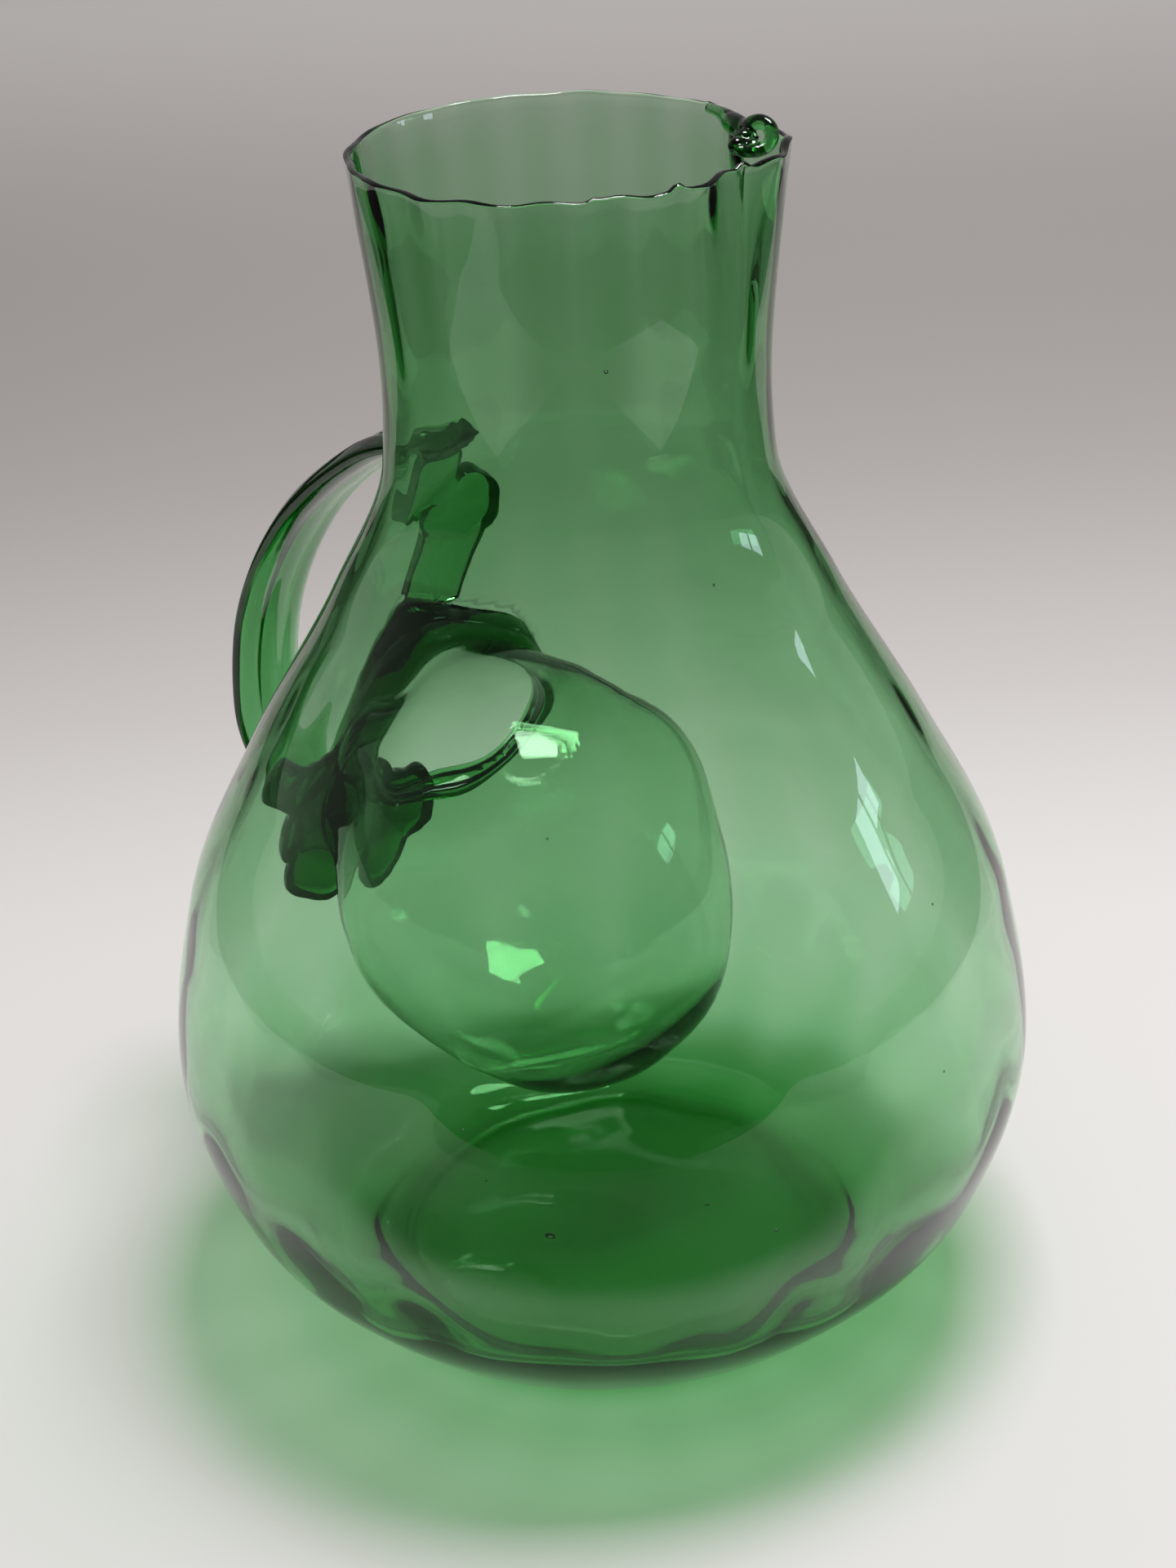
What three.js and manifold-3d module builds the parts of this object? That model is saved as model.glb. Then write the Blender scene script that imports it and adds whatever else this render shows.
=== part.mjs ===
// A blown glass cooling jug. An ice pocket hangs inside it and opens through the back wall, beside the handle.
// Millimetres, +Z up. The origin is the centre of the flat foot. The spout points along +X, the back is +Y.

import * as THREE from 'three';
import { mergeVertices } from 'three/addons/utils/BufferGeometryUtils.js';
import Module from 'manifold-3d';

const wasm = await Module();
wasm.setup();

// Jug body: outer radius at each height, foot to rim
const FOOT_RADIUS = 54.5;
const HEEL_RADIUS = 74.1;
const HEEL_HEIGHT = 15;
const FLANK_RADIUS = 90.5;
const FLANK_HEIGHT = 36;
const BELLY_RADIUS = 98.4;
const BELLY_HEIGHT = 66;
const UPPER_BELLY_RADIUS = 92.6;
const UPPER_BELLY_HEIGHT = 102;
const SHOULDER_RADIUS = 75.8;
const SHOULDER_HEIGHT = 138;
const THROAT_RADIUS = 55.1;
const THROAT_HEIGHT = 174;
const NECK_RADIUS = 40.6;
const NECK_BOTTOM = 205;
const NECK_HEIGHT = 222;
const RIM_RADIUS = 44.8;
const JUG_HEIGHT = 270;

// Jug body: wall thicknesses
const FLOOR_THICKNESS = 5;
const FLOOR_RADIUS = 45;
const HEEL_WALL = 2.6;
const FLANK_WALL = 1.7;
const BELLY_WALL = 1.2;
const SHOULDER_WALL = 1.6;
const NECK_WALL = 2.2;

// Pouring lip: two pinches in the rim, and the rolled bead between them
const PINCH_DEPTH = 6;
const PINCH_FALL = 30;
const PINCH_SPREAD = 11;
const BACK_PINCH_ANGLE = 20;
const FRONT_PINCH_ANGLE = -38;
const LIP_BEAD_RADIUS = 2.1;
const LIP_CURL_RADIUS = 3.1;
const LIP_START_ANGLE = 34;
const LIP_CURL_ANGLE = 8;

// Ice pocket and its mouth in the back wall; headings are measured from the back towards the left
const MOUTH_HEADING = 26;
const MOUTH_HEIGHT = 111;
const MOUTH_RADIUS = 22;
const COLLAR_RADIUS = 29.5;
const COLLAR_FRONT = 2;
const COLLAR_BACK = 6;
const BAND_OVER_MOUTH = 1.5;
const POCKET_MOUTH_RADIUS = 28;
const POCKET_RADIUS = 48;
const POCKET_REACH = 86.5;
const POCKET_DROP = 69;
const POCKET_HEADING = 33.7;
const POCKET_WALL = 1.2;
const POCKET_TIP_WALL = 3;
const POCKET_FULLEST = 0.42;

// Handle
const HANDLE_HEADING = 44;
const HANDLE_TOP = 199;
const HANDLE_BOTTOM = 83;
const HANDLE_STANDOFF = 33;
const STRAP_WIDTH = 18;
const STRAP_THICKNESS = 4.6;
const STRAP_RIDGE = 0.7;
const UPPER_PAD_THICKNESS = 5.5;
const LOWER_PAD_THICKNESS = 7;
const LOWER_PAD_SPREAD = 11;
const LAP_DROP = 2;
const TAIL_CURL_DROP = 11;
const TAIL_BEND_DROP = 32;
const TAIL_LENGTH = 52;
const TAIL_CURL_RADIUS = 5;

// Clearance between pieces that touch, and how finely round shapes are faceted
const GAP = 0.3;
const SKIN_STEP = 12;
const BODY_SEGMENTS = 64;
const RING_SEGMENTS = 28;
const TUBE_SEGMENTS = 5;

const green = (name, roughness) => new THREE.MeshStandardMaterial({
  name, color: 0x4f9a5a, roughness, metalness: 0, transparent: true, opacity: 0.4,
});
const clearGlass = green('clear_green_glass', 0.03);
const thickGlass = green('thick_green_glass', 0.05);

const radians = THREE.MathUtils.degToRad;
const smooth = (x) => THREE.MathUtils.smoothstep(x, 0, 1);

// A smooth curve through stations [height, value] that never overshoots them
function curveThrough(stations) {
  const step = (i) => stations[i + 1][0] - stations[i][0];
  const slope = (i) => (stations[i + 1][1] - stations[i][1]) / step(i);
  const last = stations.length - 1;
  const tangents = stations.map((_, i) => {
    if (i === 0) return slope(0);
    if (i === last) return slope(last - 1);
    if (slope(i - 1) * slope(i) <= 0) return 0;
    return 2 / (1 / slope(i - 1) + 1 / slope(i));
  });
  return (height) => {
    let i = 0;
    while (i < last - 1 && height > stations[i + 1][0]) i += 1;
    const t = THREE.MathUtils.clamp((height - stations[i][0]) / step(i), 0, 1);
    const blend = t * t * (3 - 2 * t);
    const rise = t * (1 - t) * step(i) * (tangents[i] * (1 - t) - tangents[i + 1] * t);
    return stations[i][1] * (1 - blend) + stations[i + 1][1] * blend + rise;
  };
}

const outerRadius = curveThrough([
  [0, FOOT_RADIUS], [HEEL_HEIGHT, HEEL_RADIUS], [FLANK_HEIGHT, FLANK_RADIUS], [BELLY_HEIGHT, BELLY_RADIUS],
  [UPPER_BELLY_HEIGHT, UPPER_BELLY_RADIUS], [SHOULDER_HEIGHT, SHOULDER_RADIUS], [THROAT_HEIGHT, THROAT_RADIUS],
  [NECK_BOTTOM, NECK_RADIUS + 1], [NECK_HEIGHT, NECK_RADIUS], [JUG_HEIGHT, RIM_RADIUS],
]);
const wallThickness = curveThrough([
  [0, FLOOR_THICKNESS], [HEEL_HEIGHT, HEEL_WALL], [FLANK_HEIGHT, FLANK_WALL], [BELLY_HEIGHT, BELLY_WALL],
  [SHOULDER_HEIGHT, SHOULDER_WALL], [NECK_HEIGHT, NECK_WALL], [JUG_HEIGHT, NECK_WALL],
]);

const profileSlope = (z) => outerRadius(z + 0.5) - outerRadius(z - 0.5);
const innerRadius = (z) => outerRadius(z) - wallThickness(z) * Math.hypot(1, profileSlope(z));

// Unit direction on the ground: heading 0 is the back (+Y) and 90 is the left (-X)
const headingDirection = (heading) => new THREE.Vector3(
  -Math.sin(radians(heading)), Math.cos(radians(heading)), 0);

function wallPoint(heading, z, offset = 0) {
  const outward = headingDirection(heading);
  const normal = new THREE.Vector3(outward.x, outward.y, -profileSlope(z)).normalize();
  return outward.multiplyScalar(outerRadius(z)).setZ(z).addScaledVector(normal, offset);
}

// A closed solid from a three.js geometry: shared vertices merged, empty triangles dropped
function solid(geometry) {
  geometry.deleteAttribute('normal');
  geometry.deleteAttribute('uv');
  const merged = mergeVertices(geometry.index ? geometry.toNonIndexed() : geometry, 1e-4);
  const corners = merged.index.array;
  const kept = [];
  for (let i = 0; i < corners.length; i += 3) {
    const [a, b, c] = [corners[i], corners[i + 1], corners[i + 2]];
    if (a !== b && b !== c && c !== a) kept.push(a, b, c);
  }
  return new wasm.Manifold(new wasm.Mesh({
    numProp: 3,
    vertProperties: new Float32Array(merged.attributes.position.array),
    triVerts: new Uint32Array(kept),
  }));
}

function meshOf(name, body, material) {
  const { vertProperties, triVerts } = body.getMesh();
  const geometry = new THREE.BufferGeometry();
  geometry.setAttribute('position', new THREE.BufferAttribute(new Float32Array(vertProperties), 3));
  geometry.setIndex(new THREE.BufferAttribute(new Uint32Array(triVerts), 1));
  geometry.computeVertexNormals();
  const mesh = new THREE.Mesh(geometry, material);
  mesh.name = name;
  return mesh;
}

// A solid whose skin runs through rings of points; a ring of one point closes an end
function skin(rings, joinEnds = false) {
  const triangles = [];
  const put = (...points) => points.forEach((p) => triangles.push(p.x, p.y, p.z));
  const pairs = rings.slice(1).map((ring, i) => [rings[i], ring]);
  if (joinEnds) pairs.push([rings[rings.length - 1], rings[0]]);
  for (const [lower, upper] of pairs) {
    const count = Math.max(lower.length, upper.length);
    for (let i = 0; i < count; i += 1) {
      const j = (i + 1) % count;
      if (lower.length > 1) put(lower[i], lower[j], upper[upper.length > 1 ? j : 0]);
      if (upper.length > 1) put(lower[lower.length > 1 ? i : 0], upper[j], upper[i]);
    }
  }
  const geometry = new THREE.BufferGeometry();
  geometry.setAttribute('position', new THREE.Float32BufferAttribute(triangles, 3));
  return solid(geometry);
}

function lathe(profile, segments) {
  return solid(new THREE.LatheGeometry(profile.map(([r, z]) => new THREE.Vector2(r, z)), segments)
    .rotateX(Math.PI / 2));
}

function tubeAlong(points, radius, steps) {
  const path = new THREE.CatmullRomCurve3(points, false, 'centripetal');
  const section = new THREE.Shape().absarc(0, 0, radius, 0, 2 * Math.PI);
  return solid(new THREE.ExtrudeGeometry(section, {
    extrudePath: path, steps, curveSegments: TUBE_SEGMENTS, bevelEnabled: false,
  }));
}

// The heights at which the jug's skin has a ring of corners
const skinHeights = [0, HEEL_HEIGHT * 0.2, HEEL_HEIGHT * 0.53];
for (let z = HEEL_HEIGHT; z < JUG_HEIGHT - SKIN_STEP / 2; z += SKIN_STEP) skinHeights.push(z);
skinHeights.push(JUG_HEIGHT - NECK_WALL / 2);

// The space filled by the jug and a layer outside it, faceted as the jug is
function jugEnvelope(layerAt) {
  const skinProfile = skinHeights.map((z) => [outerRadius(z) + layerAt(z), z]);
  return lathe([[0, 0], ...skinProfile, [0, JUG_HEIGHT]], BODY_SEGMENTS);
}

// How far a layer that is thick square to the wall reaches sideways
const sideways = (thickness, z) => thickness * Math.hypot(1, profileSlope(z));

// The mouth's own frame: centre on the wall, axis out of the jug, and two directions across it
const mouthCentre = wallPoint(MOUTH_HEADING, MOUTH_HEIGHT);
const mouthAxis = wallPoint(MOUTH_HEADING, MOUTH_HEIGHT, 1).sub(mouthCentre);
const mouthAcross = new THREE.Vector3(0, 0, 1).cross(mouthAxis).normalize();
const mouthUp = mouthAxis.clone().cross(mouthAcross);

// How far the wall lies along the mouth's axis, at a radius and an angle round it
function wallRise(radius, angle) {
  const start = mouthCentre.clone()
    .addScaledVector(mouthAcross, radius * Math.cos(angle))
    .addScaledVector(mouthUp, radius * Math.sin(angle));
  let rise = 0;
  for (let i = 0; i < 20; i += 1) {
    const p = start.clone().addScaledVector(mouthAxis, rise);
    rise -= Math.hypot(p.x, p.y) - outerRadius(p.z);
  }
  return rise;
}

function mouthCutter(radius) {
  const depth = 2 * COLLAR_RADIUS;
  const cutter = new THREE.CylinderGeometry(radius, radius, depth, 2 * RING_SEGMENTS);
  const turn = new THREE.Quaternion().setFromUnitVectors(new THREE.Vector3(0, 1, 0), mouthAxis);
  cutter.applyQuaternion(turn).translate(mouthCentre.x, mouthCentre.y, mouthCentre.z);
  return solid(cutter);
}

// The rim is pinched inwards at both ends of the pouring lip
function pinch(angle, z) {
  const fall = smooth((z - (JUG_HEIGHT - PINCH_FALL)) / PINCH_FALL);
  const dent = (centre) => Math.exp(-(((angle - centre) / PINCH_SPREAD) ** 2));
  return PINCH_DEPTH * fall * (dent(BACK_PINCH_ANGLE) + dent(FRONT_PINCH_ANGLE));
}

// The rolled bead runs forward along the back pinch, then curls once over the rim
function lipBead(radius) {
  const rimMiddle = RIM_RADIUS - NECK_WALL / 2;
  const onRim = (angle, z) => {
    const r = rimMiddle - pinch(angle, JUG_HEIGHT);
    return new THREE.Vector3(r * Math.cos(radians(angle)), r * Math.sin(radians(angle)), z);
  };
  const beadHeight = JUG_HEIGHT + GAP + LIP_BEAD_RADIUS;
  const points = [];
  for (let angle = LIP_START_ANGLE; angle > BACK_PINCH_ANGLE; angle -= 4) points.push(onRim(angle, beadHeight));
  const centre = onRim(LIP_CURL_ANGLE, beadHeight - LIP_CURL_RADIUS);
  const outward = new THREE.Vector3(Math.cos(radians(LIP_CURL_ANGLE)), Math.sin(radians(LIP_CURL_ANGLE)), 0);
  for (let turn = 90; turn <= 360; turn += 30) {
    const sweep = radians(turn);
    points.push(centre.clone()
      .addScaledVector(outward, LIP_CURL_RADIUS * Math.cos(sweep))
      .add(new THREE.Vector3(0, -turn / 90, LIP_CURL_RADIUS * Math.sin(sweep))));
  }
  return tubeAlong(points, radius, 30);
}

function vessel() {
  const profile = [[0, 0]];
  for (const z of skinHeights) profile.push([outerRadius(z), z]);
  profile.push([RIM_RADIUS - NECK_WALL / 2, JUG_HEIGHT]);
  for (const z of [...skinHeights].reverse()) {
    if (z >= HEEL_HEIGHT) profile.push([innerRadius(z), z]);
  }
  profile.push([FLOOR_RADIUS + 12, FLOOR_THICKNESS + 2.5]);
  profile.push([FLOOR_RADIUS, FLOOR_THICKNESS], [0, FLOOR_THICKNESS]);

  const geometry = new THREE.LatheGeometry(profile.map(([r, z]) => new THREE.Vector2(r, z)), BODY_SEGMENTS)
    .rotateX(Math.PI / 2);
  const spots = geometry.attributes.position;
  for (let i = 0; i < spots.count; i += 1) {
    const [x, y, z] = [spots.getX(i), spots.getY(i), spots.getZ(i)];
    const r = Math.hypot(x, y);
    if (z < JUG_HEIGHT - PINCH_FALL || r === 0) continue;
    const pinched = (r - pinch(THREE.MathUtils.radToDeg(Math.atan2(y, x)), z)) / r;
    spots.setXY(i, x * pinched, y * pinched);
  }
  return solid(geometry)
    .subtract(mouthCutter(COLLAR_RADIUS + GAP))
    .subtract(lipBead(LIP_BEAD_RADIUS + GAP));
}

// The blown vessel is one piece of glass, given as two solids that meet just over the mouth's hole
const dividingHeight = MOUTH_HEIGHT + COLLAR_RADIUS + BAND_OVER_MOUTH;
const jugBody = () => vessel().trimByPlane([0, 0, -1], -dividingHeight);
const jugNeck = () => vessel().trimByPlane([0, 0, 1], dividingHeight + GAP);

// The thick ring round the mouth follows the wall's curve, and fills the hole in it
function pocketCollar() {
  const round = 1.6;
  const section = [
    [MOUTH_RADIUS, -COLLAR_BACK], [COLLAR_RADIUS - round, -COLLAR_BACK], [COLLAR_RADIUS, round - COLLAR_BACK],
    [COLLAR_RADIUS, COLLAR_FRONT - round], [COLLAR_RADIUS - round, COLLAR_FRONT],
    [MOUTH_RADIUS + 2 * round, COLLAR_FRONT], [MOUTH_RADIUS, COLLAR_FRONT - 2 * round],
  ].reverse();
  const rings = [];
  for (let i = 0; i < 2 * RING_SEGMENTS; i += 1) {
    const angle = Math.PI * i / RING_SEGMENTS;
    rings.push(section.map(([radius, along]) => mouthCentre.clone()
      .addScaledVector(mouthAcross, radius * Math.cos(angle))
      .addScaledVector(mouthUp, radius * Math.sin(angle))
      .addScaledVector(mouthAxis, along + wallRise(radius, angle))));
  }
  return skin(rings, true);
}

// The pocket leaves the mouth square to the wall, sags, and closes in a round tip
function pocketRings(wall, tipWall) {
  const inward = headingDirection(POCKET_HEADING).negate();
  const base = mouthCentre.clone().addScaledVector(mouthAxis, -COLLAR_BACK - GAP);
  const tip = mouthCentre.clone().addScaledVector(inward, POCKET_REACH).add(new THREE.Vector3(0, 0, -POCKET_DROP));
  const bend = base.clone().addScaledVector(mouthAxis, -POCKET_REACH / 2);
  const spine = new THREE.QuadraticBezierCurve3(base, bend, tip);
  const mouth = POCKET_MOUTH_RADIUS - wall;
  const fullest = POCKET_RADIUS - wall;
  const end = 1 - tipWall / spine.getLength();
  const rings = [];
  const swellSteps = 8;
  const closeSteps = 10;
  for (let i = 0; i < swellSteps; i += 1) {
    rings.push({ u: POCKET_FULLEST * i / swellSteps, r: mouth + (fullest - mouth) * Math.sin(Math.PI / 2 * i / swellSteps) });
  }
  for (let i = 0; i <= closeSteps; i += 1) {
    const sweep = Math.PI / 2 * i / closeSteps;
    rings.push({ u: POCKET_FULLEST + (end - POCKET_FULLEST) * Math.sin(sweep), r: fullest * Math.cos(sweep) });
  }
  return rings.map(({ u, r }) => {
    const centre = spine.getPointAt(Math.min(u, 1));
    if (r < 0.01) return [centre];
    const along = spine.getTangentAt(u);
    const across = mouthAcross.clone().addScaledVector(along, -mouthAcross.dot(along)).normalize();
    const up = across.clone().cross(along);
    const follow = (1 - smooth(u / POCKET_FULLEST)) ** 2;
    const ring = [];
    for (let i = 0; i < RING_SEGMENTS; i += 1) {
      const angle = 2 * Math.PI * i / RING_SEGMENTS;
      ring.push(centre.clone()
        .addScaledVector(across, r * Math.cos(angle))
        .addScaledVector(up, r * Math.sin(angle))
        .addScaledVector(mouthAxis, follow * wallRise(Math.min(r, COLLAR_RADIUS), angle)));
    }
    return ring;
  });
}

function icePocket() {
  const outside = pocketRings(0, 0);
  const inside = pocketRings(POCKET_WALL, POCKET_TIP_WALL);
  return skin([...outside.reverse(), ...inside]);
}

// The handle's middle line leaves the neck, bows out from the wall, and comes back to the belly
function handlePath() {
  const bow = [[0, 0], [0.08, 0.55], [0.27, 1], [0.52, 1.06], [0.77, 0.78], [0.93, 0.4], [1, 0]];
  return bow.map(([down, out]) => {
    const z = THREE.MathUtils.lerp(HANDLE_TOP, HANDLE_BOTTOM, down);
    return headingDirection(HANDLE_HEADING).multiplyScalar(outerRadius(z) + out * HANDLE_STANDOFF).setZ(z);
  });
}

// The strap, ridged on its outer face and cut to meet both pads; margin makes it larger all round
function handleStrap(margin = 0) {
  const halfWidth = STRAP_WIDTH / 2 + margin;
  const halfThickness = STRAP_THICKNESS / 2 + margin;
  const flat = (s) => halfThickness * Math.cos(Math.PI / 2 * s * 0.75);
  const ridged = (s) => flat(s) + STRAP_RIDGE * Math.cos(4 * Math.PI * s) / 2;
  const across = Array.from({ length: 13 }, (_, i) => i / 6 - 1);
  const outline = new THREE.Shape([
    ...across.map((s) => new THREE.Vector2(-ridged(s), s * halfWidth)),
    ...[1, 0.5, 0, -0.5, -1].map((s) => new THREE.Vector2(flat(s), s * halfWidth)),
  ]);
  const path = new THREE.CatmullRomCurve3(handlePath(), false, 'centripetal');
  const strap = solid(new THREE.ExtrudeGeometry(outline, { extrudePath: path, steps: 32, bevelEnabled: false }));
  const middle = (HANDLE_TOP + HANDLE_BOTTOM) / 2;
  const padUnder = (z) => (z > middle ? UPPER_PAD_THICKNESS : LOWER_PAD_THICKNESS);
  return strap.subtract(jugEnvelope((z) => sideways(padUnder(z) + 2 * GAP - margin, z)));
}

const wallClearance = jugEnvelope((z) => sideways(GAP, z));

// The strap's upper end lies on the neck, then runs down the shoulder to the mouth
function handleUpperTail() {
  const headings = [HANDLE_HEADING + 13, HANDLE_HEADING, HANDLE_HEADING - 12];
  const lap = headings.map((heading) => wallPoint(heading, HANDLE_TOP - LAP_DROP));
  const turnHeading = HANDLE_HEADING - 15;
  const foot = wallPoint(MOUTH_HEADING + 5, HANDLE_TOP - TAIL_LENGTH);
  const curlHeight = HANDLE_TOP - TAIL_CURL_DROP;
  const tail = [...lap, wallPoint(turnHeading, curlHeight), wallPoint(turnHeading, HANDLE_TOP - TAIL_BEND_DROP), foot];
  const curl = [-5, 0, 5].map((shift) => wallPoint(turnHeading + shift, curlHeight, TAIL_CURL_RADIUS));
  return tubeAlong(tail, UPPER_PAD_THICKNESS, 30)
    .add(tubeAlong(curl, TAIL_CURL_RADIUS, 6))
    .subtract(wallClearance)
    .subtract(handleStrap(GAP))
    .subtract(mouthCutter(COLLAR_RADIUS + GAP));
}

// The low end is pressed out in lobes on the belly, beside the mouth
function handleLowerPad() {
  const lobe = (heading, z, spread) => {
    const centre = wallPoint(heading, z);
    const outward = wallPoint(heading, z, 1).sub(centre);
    const flattened = new THREE.SphereGeometry(spread, 12, 8).scale(1, LOWER_PAD_THICKNESS / spread, 1);
    const turn = new THREE.Quaternion().setFromUnitVectors(new THREE.Vector3(0, 1, 0), outward);
    return solid(flattened.applyQuaternion(turn).translate(centre.x, centre.y, centre.z));
  };
  const spread = LOWER_PAD_SPREAD;
  const lobes = [[9, 1.45], [10, 0], [2, -1.18], [-7, -1.55], [-9, 0.18]];
  return lobes
    .map(([across, up]) => lobe(HANDLE_HEADING + across, HANDLE_BOTTOM + up * spread, spread))
    .reduce((pad, next) => pad.add(next), lobe(HANDLE_HEADING, HANDLE_BOTTOM, spread * 1.4))
    .subtract(wallClearance)
    .subtract(handleStrap(GAP))
    .subtract(mouthCutter(COLLAR_RADIUS + GAP));
}

const group = new THREE.Group();
group.add(
  meshOf('jug_body', jugBody(), clearGlass),
  meshOf('jug_neck', jugNeck(), clearGlass),
  meshOf('spout_lip', lipBead(LIP_BEAD_RADIUS), thickGlass),
  meshOf('ice_pocket', icePocket(), clearGlass),
  meshOf('pocket_collar', pocketCollar(), thickGlass),
  meshOf('handle_strap', handleStrap(), thickGlass),
  meshOf('handle_upper_tail', handleUpperTail(), thickGlass),
  meshOf('handle_lower_pad', handleLowerPad(), thickGlass),
);

export default group;
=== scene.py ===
"""Glass cooling jug, blown in green soda-lime glass, with an ice pocket hanging inside it.

The pocket opens through the back wall beside the strap handle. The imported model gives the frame, in metres:
+Z up from the middle of the foot, +X towards the pouring lip and +Y towards the back.
"""

from math import atan2, copysign, cos, degrees, exp, hypot, pi, radians, sin, sqrt

import bmesh
import bpy
from mathutils import Matrix, Vector, noise


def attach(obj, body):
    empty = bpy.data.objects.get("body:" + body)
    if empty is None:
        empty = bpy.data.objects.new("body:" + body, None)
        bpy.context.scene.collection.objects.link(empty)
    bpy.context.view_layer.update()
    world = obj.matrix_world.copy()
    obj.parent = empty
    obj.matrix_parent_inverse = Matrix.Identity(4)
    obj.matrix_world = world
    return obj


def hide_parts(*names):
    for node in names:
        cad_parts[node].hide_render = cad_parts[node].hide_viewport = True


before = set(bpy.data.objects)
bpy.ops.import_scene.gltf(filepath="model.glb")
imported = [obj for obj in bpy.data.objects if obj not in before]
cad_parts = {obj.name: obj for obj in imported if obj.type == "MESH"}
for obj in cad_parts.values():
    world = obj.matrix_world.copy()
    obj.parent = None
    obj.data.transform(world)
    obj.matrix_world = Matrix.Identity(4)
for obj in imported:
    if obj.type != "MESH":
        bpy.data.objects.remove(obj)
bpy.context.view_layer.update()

bl_info = {
    "name": "Glass Cooling Jug",
    "version": (1, 0, 0),
    "blender": (4, 5, 0),
    "location": "3D View > Sidebar > Jug",
    "description": "Builds a blown glass jug with an ice pocket",
    "category": "Add Mesh",
}

MM = 0.001
ROOT = "root"


# Sizes and colours that a user may change
def length(label, description, millimetres):
    return bpy.props.FloatProperty(
        name=label, description=description, default=millimetres * MM,
        min=0.0, unit="LENGTH", subtype="DISTANCE", precision=4,
    )


def heading(label, description, turn):
    return bpy.props.FloatProperty(
        name=label, description=description, default=radians(turn),
        unit="ROTATION", subtype="ANGLE",
    )


class JugSizes(bpy.types.PropertyGroup):
    """Sizes of the blown vessel and its pouring lip"""

    height: length("Height", "Foot to rim", 270)
    foot_radius: length("Foot radius", "Outer radius of the flat foot", 54.5)
    belly_radius: length("Belly radius", "Outer radius at the fullest height", 98.2)
    belly_height: length("Belly height", "Height of the fullest radius", 66)
    neck_radius: length("Neck radius", "Smallest outer radius", 40.6)
    neck_height: length("Neck height", "Height of the smallest radius", 222)
    rim_radius: length("Rim radius", "Outer radius at the rim", 44.6)
    floor_thickness: length("Floor thickness", "Glass under the drink", 5)
    belly_wall: length("Belly wall", "Thinnest wall, at the belly", 1.05)
    neck_wall: length("Neck wall", "Wall at the neck and rim", 2.2)
    pinch_depth: length("Pinch depth", "How far the lip is pinched in", 6)
    rib_depth: length("Rib depth", "Height of the optic ribs inside", 0.22)
    rib_count: bpy.props.IntProperty(name="Ribs", description="Optic ribs round the mould", default=20, min=3)


class PocketSizes(bpy.types.PropertyGroup):
    """Sizes of the ice pocket and the ring round its mouth"""

    mouth_heading: heading("Mouth heading", "From the back towards the left", 26)
    mouth_height: length("Mouth height", "Middle of the mouth above the table", 111)
    mouth_radius: length("Mouth radius", "Clear radius that ice passes", 22)
    collar_radius: length("Collar radius", "Outer radius of the ring round the mouth", 29.5)
    neck_radius: length("Neck radius", "Pocket radius where it leaves the collar", 28)
    radius: length("Pocket radius", "Fullest radius", 48)
    reach: length("Reach", "How far the tip lies inwards from the mouth", 86.5)
    drop: length("Drop", "How far the tip hangs below the mouth", 69)
    heading: heading("Pocket heading", "Direction from the tip to the mouth", 33.7)
    wall: length("Pocket wall", "Glass round the ice", 0.75)
    tip_wall: length("Tip wall", "Glass at the pocket's tip", 3.4)


class HandleSizes(bpy.types.PropertyGroup):
    """Sizes of the strap handle and its two seats"""

    heading: heading("Handle heading", "From the back towards the left", 44)
    top: length("Top", "Height of the upper seat", 199)
    bottom: length("Bottom", "Height of the lower seat", 83)
    standoff: length("Standoff", "How far the loop stands off the wall", 34.5)
    width: length("Strap width", "Across the ridges", 20.5)
    thickness: length("Strap thickness", "Between the ridges", 5.8)
    ridge: length("Ridge", "Height of the pulled ridges", 0.45)


class GlassLook(bpy.types.PropertyGroup):
    """Colour of the glass, as the part of white light that its depth takes"""

    density: bpy.props.FloatProperty(
        name="Absorption", description="Absorption of red per metre of glass", default=330, min=0.0)
    green_kept: bpy.props.FloatProperty(
        name="Green kept", description="Part of the absorption that green escapes",
        default=0.64, min=0.0, max=1.0, subtype="FACTOR")
    blue_kept: bpy.props.FloatProperty(
        name="Blue kept", description="Part of the absorption that blue escapes",
        default=0.10, min=0.0, max=1.0, subtype="FACTOR")


# Curves
def smoothstep(x):
    x = min(max(x, 0.0), 1.0)
    return x * x * (3 - 2 * x)


def curve_through(stations):
    """A smooth curve through (height, value) stations that never overshoots them"""
    def step(i):
        return stations[i + 1][0] - stations[i][0]

    def slope(i):
        return (stations[i + 1][1] - stations[i][1]) / step(i)

    last = len(stations) - 1
    tangents = [slope(0)]
    for i in range(1, last):
        before, after = slope(i - 1), slope(i)
        tangents.append(0.0 if before * after <= 0 else 2 / (1 / before + 1 / after))
    tangents.append(slope(last - 1))

    def value(height):
        i = 0
        while i < last - 1 and height > stations[i + 1][0]:
            i += 1
        t = min(max((height - stations[i][0]) / step(i), 0.0), 1.0)
        blend = t * t * (3 - 2 * t)
        rise = t * (1 - t) * step(i) * (tangents[i] * (1 - t) - tangents[i + 1] * t)
        return stations[i][1] * (1 - blend) + stations[i + 1][1] * blend + rise

    return value


def smooth_path(points):
    """Points along a Catmull-Rom curve through the given ones"""
    per_span = 24
    ends = [2 * points[0] - points[1]] + list(points) + [2 * points[-1] - points[-2]]
    samples = []
    for a, b, c, d in zip(ends, ends[1:], ends[2:], ends[3:]):
        for i in range(per_span):
            t = i / per_span
            samples.append(0.5 * (2 * b + (c - a) * t + (2 * a - 5 * b + 4 * c - d) * t * t
                                  + (3 * b - a - 3 * c + d) * t ** 3))
    return samples + [points[-1].copy()]


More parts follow.
